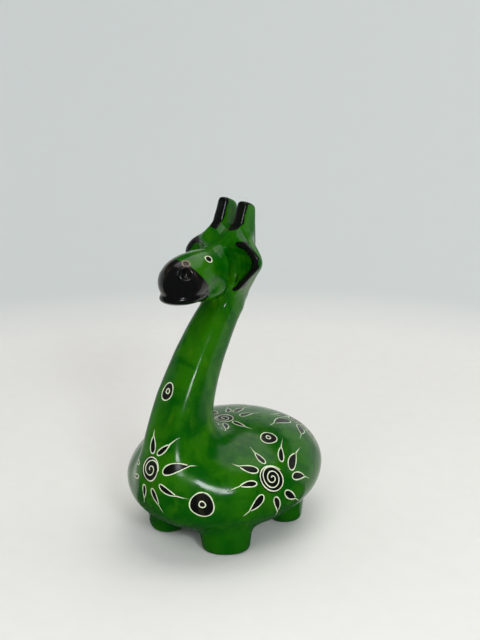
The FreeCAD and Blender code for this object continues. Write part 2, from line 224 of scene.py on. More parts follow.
HORN_SPREAD, HORN_FOOT = 5.7, 131.0  # centre across, and where a horn's taper starts
HORN_UNEVEN = 0.5  # half of how much taller the right horn is
HORN_FRONT, HORN_LEAN = -3.3, 7.6  # its front face at the foot, and how far that leans back to the top
HORN_REAR = 11.9  # its upright rear face
HORN_HALF, HORN_NARROWS = 3.25, 0.6  # its half width at the foot, and what it loses to the top
HORN_SQUARENESS = 4.5
HORN_TOP_SLOPE = 0.36  # its top falls to the rear
HORN_TOP_ROUND = 2.2


def horn_front(z):
    """Where a horn's front face is, for a height."""
    return HORN_FRONT + HORN_LEAN * (z - HORN_FOOT) / (HORN_TOP - HORN_FOOT)


def horn_shape(p):
    """A flat-topped stub that tapers and leans back."""
    x, y, z = p
    t = np.clip((z - HORN_FOOT) / (HORN_TOP - HORN_FOOT), 0, 1.1)
    front = horn_front(np.minimum(z, HORN_TOP))
    u = (np.abs(x) - HORN_SPREAD) / (HORN_HALF - HORN_NARROWS * t)
    uneven = HORN_UNEVEN * np.tanh(x)
    rear = HORN_REAR - 1.3 * uneven
    v = (2 * y - front - rear) / (rear - front)
    k = HORN_SQUARENESS
    d = ((np.abs(u) ** k + np.abs(v) ** k) ** (1 / k) - 1) * 3.0  # times about its half width
    top = HORN_TOP + 0.8 - uneven
    sloped = (z - top + HORN_TOP_SLOPE * (y - 5)) * 0.93  # about a true distance
    return meet(meet(d, sloped, HORN_TOP_ROUND), HORN_FOOT - 4 - z, 1)


# Each mass of the snout: its middle, its half sizes and how many radians it noses down.
MUZZLE = ((0, NOSE_TIP + 12.0, 119.9), (10.2, 12.7, 10.0), 0.16)
BRIDGE = ((0, -14, 121.8), (8.8, 14, 9.6), 0.0)
JAW = ((0, -12, 115.3), (8.6, 12, 6.2), 0.22)
LIP = ((0, -26.7, 113.4), (9.0, 11.9, 3.5), 0.05)
CHEEK_RING = (8.6, 0.45)  # radius of the low ridge round the cheeks, and of its section
CHEEK_Y, CHEEK_Z = -8.3, 122.0
CHEEK_FOOT = 120.0  # it fades out below this height
NOSTRIL = (8.0, NOSE_TIP + 4.9, 124.3)  # drilled in the muzzle's flank
NOSTRIL_HALF = (2.1, 2.0, 2.0)
NOSTRIL_WAY = (0.84, -0.39, 0.375)  # the way it faces
NOSTRIL_RIM = (2.7, 0.95)  # radius of its raised rim, and of the rim's section
NOSTRIL_RIM_SUNK = 1.45  # how deep the middle of that section lies
NOSTRIL_RING = (5.1, -30.6, 128.9)  # a ring scratched above it, with a small pit
PIT_HALF = (0.9, 0.9, 0.9)


def nostril_rim(side, x):
    """The rim round the nostril, which stands proud on the left side only."""
    out = plane(side, NOSTRIL_WAY, NOSTRIL)
    apart = np.sqrt(sum((side[i] - NOSTRIL[i]) ** 2 for i in range(3)))
    about = np.sqrt(np.maximum(apart**2 - out**2, 0))
    flatter = 0.6 * (1 - np.tanh(x))
    return np.hypot(about - NOSTRIL_RIM[0], out + NOSTRIL_RIM_SUNK) - NOSTRIL_RIM[1] + flatter


def snout_shape(p):
    """The blunt muzzle with its bridge, cheek ring, jaw and lower lip."""
    x, y, z = p
    d = join(ellipsoid(p, *MUZZLE), ellipsoid(p, *BRIDGE), 5)
    ring = np.hypot(np.hypot(x, z - CHEEK_Z) - CHEEK_RING[0], y - CHEEK_Y) - CHEEK_RING[1]
    d = join(d, meet(ring, CHEEK_FOOT - z, 3), 3)
    d = join(d, ellipsoid(p, *JAW), 3)
    d = join(d, ellipsoid(p, *LIP), 0.6)
    side = (np.abs(x), y, z)
    d = join(d, nostril_rim(side, x), 0.9)
    d = -join(-d, ellipsoid(side, NOSTRIL, NOSTRIL_HALF), 1.0)
    return -join(-d, ellipsoid(side, NOSTRIL_RING, PIT_HALF), 0.6)


BROAD_MARKS, FLAT_MARKS = 0.12, 0.03  # how deep the rasp's and the sandpaper's marks are


def hand_marks(p):
    """The slight unevenness that rasp and sandpaper leave in stone worked by hand."""
    x, y, z = p
    broad = np.sin(0.21 * x + 0.09 * z + 1) * np.sin(0.17 * y - 0.12 * x) * np.sin(0.19 * z + 0.4)
    flats = np.sin(0.45 * x - 0.31 * z) * np.sin(0.38 * y + 0.2 * z + 2)
    return BROAD_MARKS * broad + FLAT_MARKS * flats


# Fillets where the features flow into each other.
FOOT_FILLET, HORN_FILLET, HEAD_FILLET, BOWL_EDGE, FACE_FILLET = 3.0, 4.5, 5.0, 2.4, 3.2


def stone(points):
    """The distance from points, an array of any shape by 3, to the whole carved stone."""
    p = tuple(np.moveaxis(points, -1, 0))
    ahead = (1 - np.tanh((p[1] + 20) / 6)) / 2  # 1 on the breast, 0 from the body's middle to the rump
    flare = NECK_FLARE + NECK_FLARE_UNEVEN * np.tanh(p[0] / 8) * ahead
    d = join(body_shape(p), neck_shape(p), flare)
    for centre in FOOT_CENTRES:
        d = join(d, foot_shape(p, centre), FOOT_FILLET)
    head = join(head_shape(p), horn_shape(p), HORN_FILLET)
    d = join(d, head, HEAD_FILLET)
    d = -join(-d, ear_hollow(p), BOWL_EDGE)
    d = join(d, snout_shape(p), FACE_FILLET)
    return d + hand_marks(p)


def slope(points, reach=0.05):
    """The gradient of the stone's distance function."""
    corners = np.array([(1, 1, 1), (1, -1, -1), (-1, 1, -1), (-1, -1, 1)], float)
    total = sum(c * stone(points + c * reach)[:, None] for c in corners)
    return total / (4 * reach)


def onto_stone(points, passes=3):
    """Points moved to the stone's surface, and the outward normals there."""
    points = np.array(points, float)
    for _ in range(passes):
        g = slope(points)
        size = np.maximum((g * g).sum(1), 0.25)
        points -= np.clip(stone(points) / size, -2, 2)[:, None] * g
    g = slope(points)
    return points, g / np.linalg.norm(g, axis=1)[:, None]


# ---------------------------------------------------------------- scratched and painted marks


def turned(degrees, radius):
    """A point at an angle, clockwise from up as seen from outside, and a distance."""
    a = np.radians(degrees)
    return np.stack([np.sin(a) * radius, np.cos(a) * radius], -1)


SPIRAL_POINTS = 22  # in each turn
SPIRAL_START = 0.5  # radius where it starts
RIM_TURNS = 0.8  # the end of a spiral runs round the disc's rim
SIDE_POINTS, TAIL_POINTS = 15, 7  # along one side of a petal's leaf, and along its tail
LEAF_PEAK = 0.393  # the largest value of the leaf's outline before it is scaled


class Mark:
    """A motif drawn on the surface about one spot, in flat coordinates: right and up, in mm."""

    def __init__(self, seed, tone=0.0):
        centres, normals = onto_stone([seed], passes=10)
        self.centre, self.normal = centres[0], normals[0]
        pole = np.array([0, 0, 1.0]) if abs(self.normal[2]) < 0.97 else np.array([0, 1.0, 0])
        up = pole - self.normal * (pole @ self.normal)
        self.up = up / np.linalg.norm(up)
        self.right = np.cross(self.up, self.normal)
        self.tone = tone  # 0 for a fresh pale line, 1 for a brown worn one
        self.strokes = []  # (points, half widths)
        self.fills = []  # closed outlines

    def flat(self, points):
        """Flat coordinates that keep each point's angle and straight distance from the centre."""
        v = points - self.centre
        s, t = v @ self.right, v @ self.up
        stretch = np.linalg.norm(v, axis=1) / np.maximum(np.hypot(s, t), 1e-6)
        return np.stack([s, t], -1) * stretch[:, None]

    def reach(self):
        """How far from its centre the motif matters."""
        return max(np.linalg.norm(p, axis=1).max() for p, _ in self.strokes) + FAR

    def line(self, points, half=LINE_HALF):
        """A stroke whose width varies a little, as a hand-held point scratches it."""
        points = np.asarray(points)
        varied = 1 + 0.16 * np.sin(np.arange(len(points)) * 0.9 + rng.uniform(0, 6))
        self.strokes.append((points, np.broadcast_to(half, len(points)) * varied))

    def blob(self, radius, middle=(0, 0), uneven=0.05, squeeze=1.0, half=LINE_HALF,
             lined=True, filled=True):
        """A hand-drawn round, outlined, filled with black, or both."""
        a = np.linspace(0, 2 * np.pi, 33)
        twos = np.sin(2 * a + rng.uniform(0, 6))
        threes = np.sin(3 * a + rng.uniform(0, 6))
        lobes = 1 + uneven * (twos + 0.6 * threes)
        outline = turned(np.degrees(a), radius * lobes) * (squeeze, 1) + middle
        if lined:
            self.line(outline, half)
        if filled:
            self.fills.append(outline)

    def spiral(self, radius, turns, start=0.0):
        """A clockwise spiral from near the centre that closes on itself as the disc's rim."""
        a = np.linspace(0, 360 * turns, int(SPIRAL_POINTS * turns))
        shake = 1 + 0.035 * np.sin(np.radians(a) * 2.3 + rng.uniform(0, 6))
        outward = np.minimum(a / (360 * (turns - RIM_TURNS)), 1)
        self.line(turned(a + start, (SPIRAL_START + (radius - SPIRAL_START) * outward) * shake))

    def petal(self, root, tip, plump=0.185, bend=0.06):
        """A leaf from root to tip, each (degrees, mm): a round base, and sides that meet in a tail."""
        a, b = turned(*root), turned(*tip)
        along = b - a
        length = np.linalg.norm(along)
        across = np.array([along[1], -along[0]]) / length
        bend *= rng.choice([-1, 1]) * rng.uniform(0.4, 1.3)
        closed = rng.uniform(0.56, 0.76)  # the leaf's share of the whole stroke
        s = np.linspace(0, 1, SIDE_POINTS) ** 1.4
        leaf = np.sqrt(s) * (1 - s) ** 0.95 / LEAF_PEAK
        swell = leaf * plump * length * closed * rng.uniform(0.85, 1.12)

        def spine(t):
            return a + np.outer(t, along) + np.outer(bend * length * np.sin(np.pi * t), across)

        left = spine(s * closed) + across * swell[:, None]
        right = spine(s * closed) - across * swell[:, None]
        tail = spine(np.linspace(1, closed, TAIL_POINTS))
        self.fills.append(np.concatenate([left, right[::-1]]))
        taper = np.concatenate([
            np.linspace(0.05, LINE_HALF, TAIL_POINTS), np.full(2 * SIDE_POINTS - 2, LINE_HALF)])
        self.line(np.concatenate([tail, left[::-1], right[1:-1]]), taper)


STROKE_REACH = 1.5  # points beyond this from a stroke's box count as far from it


def near_stroke(q, points, half):
    """The distance from flat points q to a stroke's edge, negative inside the scratched line."""
    best = np.full(len(q), FAR)
    low, high = points.min(0) - STROKE_REACH, points.max(0) + STROKE_REACH
    close = np.all((q > low) & (q < high), axis=1)
    p = q[close][:, None]
    a, b = points[:-1], points[1:]
    ab = b - a
    t = np.clip(((p - a) * ab).sum(-1) / np.maximum((ab * ab).sum(-1), TINY), 0, 1)
    away = np.linalg.norm(p - a - t[..., None] * ab, axis=-1)
    best[close] = (away - half[:-1] - t * (half[1:] - half[:-1])).min(1)
    return best


def inside_outline(q, outline):
    """Whether flat points lie inside a closed outline, by counting the sides to their right."""
    a, b = outline, np.roll(outline, -1, axis=0)
    x, y = q[:, :1], q[:, 1:]
    rise = np.where(b[:, 1] == a[:, 1], TINY, b[:, 1] - a[:, 1])
    level = (a[:, 1] > y) != (b[:, 1] > y)
    to_the_right = x < (b[:, 0] - a[:, 0]) * (y - a[:, 1]) / rise + a[:, 0]
    return (level & to_the_right).sum(1) % 2 == 1


def near_outline(q, outline):
    """The signed distance to a closed outline, negative inside."""
    away = near_stroke(q, np.concatenate([outline, outline[:1]]), np.zeros(len(outline) + 1))
    return np.where(inside_outline(q, outline), -away, away)


def body_spot(longitude, latitude):
    """A point of the body's pebble: degrees from straight ahead towards the left side, and up."""
    lon, lat = math.radians(longitude), math.radians(latitude)
    way = (math.cos(lat) * math.sin(lon), -math.cos(lat) * math.cos(lon), math.sin(lat))
    return BODY_CENTRE + BODY_HALF * way


def neck_spot(lean, turn):
    """A point of the neck: the centreline's lean, and degrees from its front towards the left."""
    a, b = math.radians(lean), math.radians(turn)
    girth = 10.0  # about the neck's half width
    y = NECK_ROOT[0] + NECK_BEND * (1 - math.cos(a)) - girth * math.cos(b) * math.cos(a)
    z = NECK_ROOT[1] + NECK_BEND * math.sin(a) + girth * math.cos(b) * math.sin(a)
    return np.array([girth * math.sin(b), y, z])


# Each sun: where it is, its longitude and latitude on the body, its disc's radius, turns of its spiral,
# how worn its lines are, and its petals as (degrees, mm) of the root and (degrees, mm) of the tip.
SUNS = [
    ("chest", 2.4, 30.9, 4.9, 2.6, 0.1, [
        (348, 6.5, 347, 17.0), (13, 6.9, 25, 18.5), (85, 7.1, 65, 20.6), (127, 8.1, 113, 21.1),
        (164, 8.1, 160, 19.7), (201, 8.4, 198, 18.3), (234, 9.5, 241, 17.5), (267, 8.3, 278, 14.1)]),
    ("left flank", 73.4, 20.7, 5.7, 3.3, 0.0, [
        (356, 7.0, 352, 16.8), (54, 9.8, 47, 23.9), (83, 11.1, 68, 26.7), (100, 11.2, 102, 23.9),
        (145, 9.0, 126, 23.5), (185, 8.3, 168, 20.3), (228, 8.7, 234, 20.6), (269, 8.1, 271, 21.3),
        (312, 7.0, 307, 18.8)]),
    ("back", 27.0, 86.0, 4.3, 2.6, 0.2, [
        (333, 8.1, 323, 18.7), (350, 9.3, 352, 26.5), (28, 8.0, 18, 20.8), (90, 5.2, 85, 15.6),
        (136, 6.0, 138, 16.1), (166, 7.6, 158, 17.5), (206, 6.8, 212, 15.5), (246, 6.6, 240, 18.0),
        (286, 6.9, 292, 19.5)]),
    ("left rump", 151.5, 38.5, 4.8, 2.8, 0.2, [
        (16, 6.1, 350, 17.1), (322, 7.9, 320, 26.5), (279, 6.2, 284, 21.6), (240, 7.0, 246, 19.0),
        (198, 7.4, 204, 20.0), (160, 7.0, 158, 18.5), (118, 7.2, 110, 20.5), (62, 6.8, 66, 19.0)]),
    ("right flank", -76.0, 21.5, 5.5, 3.2, 0.05, [
        (5, 7.2, 10, 18.0), (48, 7.6, 55, 19.5), (92, 8.0, 90, 21.0), (133, 8.4, 127, 20.5),
        (174, 8.2, 180, 19.5), (216, 9.0, 224, 22.0), (262, 9.6, 258, 24.0), (308, 8.8, 312, 23.0)]),
    ("right rump", -146.0, 14.0, 5.2, 2.9, 0.05, [
        (352, 7.0, 358, 18.5), (38, 7.4, 46, 20.0), (84, 7.8, 80, 20.5), (128, 7.6, 136, 18.0),
        (176, 7.8, 172, 17.5), (222, 7.6, 230, 19.0), (268, 7.4, 264, 20.5), (312, 7.2, 304, 19.5)]),
]
# Each dot: a point near it, its radius, the radius of the ring inside it, and its squeeze.
DOTS = [
    (body_spot(32.3, 4.5), 5.2, 1.35, 1.0),
    (body_spot(90.4, 53.6), 3.6, 1.0, 1.15),
    (neck_spot(23.5, -8), 3.7, 1.1, 0.82),
    (neck_spot(30.0, 196), 3.6, 1.1, 0.85),
    (body_spot(-46.0, 3.0), 5.0, 1.3, 1.0),
    (body_spot(-92.0, 55.0), 4.2, 1.1, 1.0),
    (body_spot(-177.0, 28.0), 4.4, 1.2, 1.0),
    (body_spot(152.0, -3.0), 4.6, 1.2, 1.0),
]
EYE = (6.8, -18.5, 128.5)
EYE_RADIUS, NOSTRIL_RING_RADIUS = 1.65, 1.6
BLACK_PAST_SPIRAL = 0.5  # how far a disc's black runs past its spiral


def make_marks():
    """Every motif: suns, dots, eyes and the rings over the nostrils."""
    marks = []
    for _, longitude, latitude, radius, turns, worn, petals in SUNS:
        sun = Mark(body_spot(longitude, latitude), worn)
        sun.spiral(radius, turns, start=rng.uniform(0, 360))
        sun.blob(radius + BLACK_PAST_SPIRAL, middle=(-0.35, -0.1), uneven=0.03, lined=False)
        for root_turn, root_far, tip_turn, tip_far in petals:
            sun.petal((root_turn, root_far), (tip_turn, tip_far))
        marks.append(sun)
    for seed, radius, ring, squeeze in DOTS:
        dot = Mark(seed)
        dot.blob(radius, uneven=0.06, squeeze=squeeze)
        dot.blob(ring, middle=(0.1, 0.3), uneven=0.07, squeeze=squeeze, filled=False)
        marks.append(dot)
    for side in (1, -1):
        eye = Mark((side * EYE[0], *EYE[1:]))
        eye.blob(EYE_RADIUS, uneven=0.03, squeeze=1.05)
        nostril = Mark((side * NOSTRIL_RING[0], *NOSTRIL_RING[1:]), tone=1.0)
        nostril.blob(NOSTRIL_RING_RADIUS, uneven=0.05, half=0.29)
        marks += [eye, nostril]
    return marks


# The black rim of an ear: x and z along its middle, and its half width there.
EAR_BAND = [(11.4, 132.8, 1.7), (13.0, 132.6, 1.75), (14.8, 131.9, 1.8), (16.7, 130.3, 1.8),
            (18.3, 128.4, 1.8), (19.3, 126.6, 1.8), (19.4, 125.0, 1.7), (18.6, 123.0, 1.6),
            (17.1, 120.8, 1.5), (14.7, 118.2, 1.35), (12.3, 115.9, 1.2), (10.5, 114.2, 1.1),
            (9.6, 113.5, 0.8)]
BAND_DEEP = 1.4  # how far behind the ear's front face the rim's paint reaches
BAND_THINNER = 0.35  # on the right ear
HORN_PAINT_HALF = 3.0  # half the width of the black strip down a horn
HORN_PAINT_DEEP = 1.5  # how far it wraps round the horn's front edges
HORN_PAINT_FOOT = 138.2
HORN_CAP_DEEP = 1.5  # how far the black of the horn's top runs down
RIGHT_CAP_Y = 6.0  # the right horn's top is black only ahead of this


def painted(points):
    """The signed distance to the black paint on the ears' rims and the horns, negative inside."""
    x, y, z = points.T
    side = np.stack([np.abs(x), z], -1)
    front = ear_planes(tuple(points.T))[3]
    waver = 0.16 * np.sin(1.1 * z + 0.7 * x) + 0.08 * np.sin(2.9 * z - x)
    band = np.array(EAR_BAND)
    rim = near_stroke(side, band[:, :2], band[:, 2]) + waver + np.where(x < 0, BAND_THINNER, 0)
    deeper = np.clip(13 - 0.8 * side[:, 0], 0, 3.5)  # towards the crown
    rim = np.maximum(rim, -front - BAND_DEEP - deeper)
    across = np.abs(side[:, 0] - HORN_SPREAD) - HORN_PAINT_HALF + 0.035 * (HORN_TOP - z)
    strip = np.maximum(y - horn_front(z) - HORN_PAINT_DEEP, across) + waver
    strip = meet(strip, HORN_PAINT_FOOT + 0.2 * (side[:, 0] - HORN_SPREAD) - z, 1.2)
    cap = np.maximum(HORN_TOP - HORN_CAP_DEEP - z, np.where(x > 0, -1.0, y - RIGHT_CAP_Y))
    return np.clip(np.minimum(np.minimum(rim, strip), cap), -FAR, FAR)


def read_marks(points, normals, marks):
    """For each surface point: distance to the black, to the scratched lines, and the lines' wear."""
    ink = painted(points)
    line = np.full(len(points), FAR)
    tone = np.zeros(len(points))
    for mark in marks:
        near = np.linalg.norm(points - mark.centre, axis=1) < mark.reach()
        near &= normals @ mark.normal > -0.2
        index = np.flatnonzero(near)
        q = mark.flat(points[index])
        for outline in mark.fills:
            ink[index] = np.minimum(ink[index], near_outline(q, outline))
        for stroke, half in mark.strokes:
            found = near_stroke(q, stroke, half)
            closer = found < line[index]
            tone[index[closer]] = mark.tone
            line[index] = np.minimum(line[index], found)
    return ink, line, tone


# ---------------------------------------------------------------- meshing


def surface_net(field, low, high, step):
    """Quads around every cell that the surface crosses; field gives distances on a grid of points."""
    axes = [np.arange(low[i] - NET_MARGIN, high[i] + NET_MARGIN + step, step) for i in range(3)]
    grid = np.empty([len(a) for a in axes], np.float32)
    for i, x in enumerate(axes[0]):
        layer = np.stack(np.meshgrid([x], axes[1], axes[2], indexing="ij"), -1)
        grid[i] = field(layer)[0]
    inside = grid < 0
    cell_shape = np.array(grid.shape) - 1
    corners = [(a, b, c) for a in (0, 1) for b in (0, 1) for c in (0, 1)]

    def at_corner(values, corner):
        return values[tuple(slice(corner[i], corner[i] + cell_shape[i]) for i in range(3))]

    count = sum(at_corner(inside, c).astype(np.int8) for c in corners)
    cells = np.argwhere((count > 0) & (count < 8))
    index = np.full(cell_shape, -1)
    index[tuple(cells.T)] = np.arange(len(cells))
    middle = np.zeros((len(cells), 3))
    hits = np.zeros(len(cells))
    for a in corners:
        for axis in range(3):
            if a[axis]:
                continue
            b = np.array(a) + np.eye(3, dtype=int)[axis]
            va, vb = grid[tuple((cells + a).T)], grid[tuple((cells + b).T)]
            cut = (va < 0) != (vb < 0)
            t = va / np.where(cut, va - vb, 1)
            middle[cut] += (cells + a)[cut] + np.outer(t[cut], np.eye(3)[axis])
            hits += cut
    points = middle / hits[:, None] * step + [a[0] for a in axes]
    quads = []
    for axis in range(3):
        u, v = (axis + 1) % 3, (axis + 2) % 3
        ends = [slice(1, -1)] * 3
        ends[axis] = slice(0, -1)
        first = inside[tuple(ends)]
        ends[axis] = slice(1, None)
        second = inside[tuple(ends)]
        edges = np.argwhere(first != second)
        leaving = first[tuple(edges.T)]
        base = edges + 1
        base[:, axis] -= 1
        around = []
        for du, dv in ((0, 0), (1, 0), (1, 1), (0, 1)):
            cell = base.copy()
            cell[:, u] -= du
            cell[:, v] -= dv
            around.append(index[tuple(cell.T)])
        quad = np.stack(around, 1)
        quads.append(np.where(leaving[:, None], quad, quad[:, ::-1]))
    return points, np.concatenate(quads)


def triangles_of(points, quads):
    """Each quad as two triangles across its shorter diagonal."""
    a, b, c, d = (points[quads[:, i]] for i in range(4))
    short = (np.linalg.norm(a - c, axis=1) < np.linalg.norm(b - d, axis=1))[:, None]
    one = np.where(short, quads[:, [0, 1, 2]], quads[:, [0, 1, 3]])
    two = np.where(short, quads[:, [0, 2, 3]], quads[:, [1, 2, 3]])
    return np.concatenate([one, two])


def edges_of(triangles):
    """The unique edges, and for each triangle the numbers of its edges ab, bc and ca."""
    pairs = np.concatenate([triangles[:, [0, 1]], triangles[:, [1, 2]], triangles[:, [2, 0]]])
    pairs = np.sort(pairs, axis=1)
    key = pairs[:, 0] * (triangles.max() + 1) + pairs[:, 1]
    _, first, inverse = np.unique(key, return_index=True, return_inverse=True)
    return pairs[first], inverse.reshape(3, -1).T


def refine(points, triangles, wanted):
    """Halves every edge that is longer than wanted(its middle, the normal there), and splits the
    triangles to suit."""
    edges, sides = edges_of(triangles)
    middle = (points[edges[:, 0]] + points[edges[:, 1]]) / 2
    length = np.linalg.norm(points[edges[:, 0]] - points[edges[:, 1]], axis=1)
    candidates = np.flatnonzero(length > FINE_STEP)
    middle[candidates], normals = onto_stone(middle[candidates], passes=1)
    split = np.zeros(len(edges), bool)
    split[candidates] = length[candidates] > wanted(middle[candidates], normals)
    number = np.full(len(edges), -1)
    number[split] = len(points) + np.arange(split.sum())
    points = np.concatenate([points, middle[split]])
    new = number[sides]
    marked = (new >= 0).sum(1)
    done = [triangles[marked == 0]]
    t, m = triangles[marked == 3], new[marked == 3]
    done += [np.stack(c, 1) for c in (
        (t[:, 0], m[:, 0], m[:, 2]), (m[:, 0], t[:, 1], m[:, 1]),
        (m[:, 2], m[:, 1], t[:, 2]), (m[:, 0], m[:, 1], m[:, 2]))]
    for turn in range(3):
        order = [(turn + i) % 3 for i in range(3)]
        t, m = triangles[:, order], new[:, order]
        one = (marked == 1) & (m[:, 0] >= 0)
        a, b, c, ab = t[one, 0], t[one, 1], t[one, 2], m[one, 0]
        done += [np.stack([a, ab, c], 1), np.stack([ab, b, c], 1)]
        two = (marked == 2) & (m[:, 2] < 0)
        a, b, c, ab, bc = t[two, 0], t[two, 1], t[two, 2], m[two, 0], m[two, 1]
        done += [np.stack([ab, b, bc], 1), np.stack([a, ab, bc], 1), np.stack([a, bc, c], 1)]
    return points, np.concatenate(done)


def corner_normals(points, triangles):
    """Smooth normals, each face weighted by its area."""
    a, b, c = (points[triangles[:, i]] for i in range(3))
    face = np.cross(b - a, c - a)
    total = np.zeros_like(points)
    for i in range(3):
        np.add.at(total, triangles[:, i], face)
    return total / np.maximum(np.linalg.norm(total, axis=1), 1e-12)[:, None]


class Piece:
    """A closed triangle mesh; data holds each point's normal, black, line and wear, and cap says which
    triangles close a cut."""

    def __init__(self, points, data, triangles, cap):
        self.points, self.data, self.triangles, self.cap = points, data, triangles, cap


def compact(points, data, triangles, cap):
    """A piece with only the points that its triangles use."""
    used, renumbered = np.unique(triangles, return_inverse=True)
    return Piece(points[used], data[used], renumbered.reshape(triangles.shape), cap)


def closing_fans(ring, points):
    """Triangles that close a cut, and its loops. ring is its directed edges; each loop gets a fan
    about a hub, a new point after all the others."""
    following = {int(a): int(b) for a, b in ring}
    fans, loops = [], []
    while following:
        start, after = following.popitem()
        loop = [start]
        while after != start:
            loop.append(after)
            after = following.pop(after)
        hub = len(points) + len(loops)
        loops.append(loop)
        fans += [(b, a, hub) for a, b in zip(loop, loop[1:] + loop[:1])]
    return fans, loops


def cut(piece, value):
    """Cuts a piece where value(points) is zero: [the negative side, the positive side], both closed."""
    v = value(tuple(piece.points.T))
    v = np.where(np.abs(v) < CUT_CLEAR, CUT_CLEAR, v)
    above = v > 0
    edges, sides = edges_of(piece.triangles)
    crossed = above[edges[:, 0]] != above[edges[:, 1]]
    a, b = edges[crossed].T
    t = (v[a] / (v[a] - v[b]))[:, None]
    points = np.concatenate([piece.points, piece.points[a] * (1 - t) + piece.points[b] * t])
    data = np.concatenate([piece.data, piece.data[a] * (1 - t) + piece.data[b] * t])
    number = np.full(len(edges), -1)
    number[crossed] = len(piece.points) + np.arange(crossed.sum())
    new = number[sides]
    tri, cap = piece.triangles, piece.cap
    up = above[tri].sum(1)
    parts = {False: [(tri[up == 0], cap[up == 0])], True: [(tri[up == 3], cap[up == 3])]}
    rings = {False: [], True: []}
    for turn in range(3):
        order = [(turn + i) % 3 for i in range(3)]
        t, m = tri[:, order], new[:, order]
        alone = (m[:, 0] >= 0) & (m[:, 2] >= 0)
        for side in (False, True):
            here = alone & (above[t[:, 0]] == side)
            a, b, c, ab, ca = t[here, 0], t[here, 1], t[here, 2], m[here, 0], m[here, 2]
            parts[side].append((np.stack([a, ab, ca], 1), cap[here]))
            parts[not side].append((np.stack([ab, b, c], 1), cap[here]))
            parts[not side].append((np.stack([ab, c, ca], 1), cap[here]))
            rings[side].append(np.stack([ab, ca], 1))
            rings[not side].append(np.stack([ca, ab], 1))
    made = []
    for side in (False, True):
        triangles = np.concatenate([p[0] for p in parts[side]])
        caps = np.concatenate([p[1] for p in parts[side]])
        fans, loops = closing_fans(np.concatenate(rings[side]), points)
        hubbed_points, hubbed_data = points, data
        if fans:
            hubbed_points = np.concatenate([points, [points[loop].mean(0) for loop in loops]])
            hubbed_data = np.concatenate([data, [data[loop].mean(0) for loop in loops]])
            triangles = np.concatenate([triangles, np.array(fans)])
            caps = np.concatenate([caps, np.ones(len(fans), bool)])
        made.append(compact(hubbed_points, hubbed_data, triangles, caps))
    return made


def whole_stone():
    """The carved stone as one closed mesh, fine beside its marks, with its lines scratched in."""
    low = np.array(cad_box[0]) / MM
    high = np.array(cad_box[1]) / MM
    points, quads = surface_net(stone, low, high, NET_STEP)
    points, _ = onto_stone(points)
    triangles = triangles_of(points, quads)
    marks = make_marks()

    def wanted(at, normals):
        ink, line, _ = read_marks(at, normals, marks)
        edge = np.minimum(np.abs(ink), np.maximum(line, 0))
        return np.clip(FINEST_WANTED + 0.55 * edge, FINEST_WANTED, COARSEST_WANTED)

    for _ in range(3):
        points, triangles = refine(points, triangles, wanted)
    points, normals = onto_stone(points, passes=1)
    ink, line, tone = read_marks(points, normals, marks)
    depth = GROOVE_DEPTH * np.clip(0.5 - line / GROOVE_SIDE, 0, 1)
    sunk = points - normals * depth[:, None]
    rough = corner_normals(sunk, triangles)
    near = np.clip(1.2 - line / 0.5, 0, 1)[:, None]  # 1 in and beside a groove
    normals = normals * (1 - near) + rough * near
    data = np.column_stack([normals, ink, line, tone])
    return Piece(sunk, data, triangles, np.zeros(len(triangles), bool))


# ---------------------------------------------------------------- cutting the stone into its pieces

FOOT_CLEAR, FOOT_CUT = 0.9, 14.0  # a foot starts this far from the belly, and below this height
NECK_CUT_LEAN = math.radians(17)  # lean of the neck where it leaves the body
NECK_CLEAR = 4.3  # the neck starts this far from the body's back
HEAD_CUT = 105.5  # height of the cut between neck and head
HORN_CUT = CROWN_Z + 1.9
MOUTH_Z = 113.6
DYE_Y, DYE_Z = -25.2, 121.2  # a point of the line where the muzzle's black dye ends


def foot_cut(p):
    """Positive in the feet: clear of the body's belly, and low."""
    return np.minimum(body_shape(p) - FOOT_CLEAR, FOOT_CUT - p[2])


def neck_cut(p):
    """Positive on the neck: above a plane square to it, and clear of the body's back."""
    s, c = math.sin(NECK_CUT_LEAN), math.cos(NECK_CUT_LEAN)
    y = NECK_ROOT[0] + NECK_BEND * (1 - c)
    z = NECK_ROOT[1] + NECK_BEND * s
    return np.minimum((p[1] - y) * s + (p[2] - z) * c, body_shape(p) - NECK_CLEAR)


def dye_edge(p):
    """Negative ahead of the curved line where the muzzle's black dye ends."""
    rise = p[2] - DYE_Z
    waver = 0.15 * np.sin(0.9 * p[2] + 0.5 * p[0])
    return p[1] - DYE_Y + 0.92 * rise - 0.003 * rise**3 + waver


def mouth_line(p):
    """Positive above the mouth."""
    return p[2] - MOUTH_Z - 0.004 * p[0] ** 2


def by_side(name, piece):
    """Splits a mirrored pair into its left and right pieces."""
    right, left = cut(piece, lambda p: p[0])
    return {name.format("left"): left, name.format("right"): right}


def cut_pieces():
    """Every piece of the stone by the name of the CAD node that it stands for."""
    pieces = {}
    rest, feet = cut(whole_stone(), foot_cut)
    rear_front = cut(feet, lambda p: p[1])
    for end, pair in zip(("front", "rear"), rear_front):
        pieces |= by_side(end + "_{}_foot", pair)
    pieces["body"], rest = cut(rest, neck_cut)
    pieces["neck"], head = cut(rest, lambda p: p[2] - HEAD_CUT)
    face, cranium = cut(head, lambda p: p[1] - FACE_Y + 0.2)
    black, green = cut(face, dye_edge)
    pieces["lower_lip"], pieces["muzzle"] = cut(black, mouth_line)
    pieces["jaw"], pieces["snout"] = cut(green, mouth_line)
    cranium, horns = cut(cranium, lambda p: p[2] - HORN_CUT)
    pieces |= by_side("{}_horn", horns)
    pieces["skull"], ears = cut(cranium, lambda p: np.abs(p[0]) - SKULL_SIDE)
    pieces |= by_side("{}_ear", ears)
    return pieces


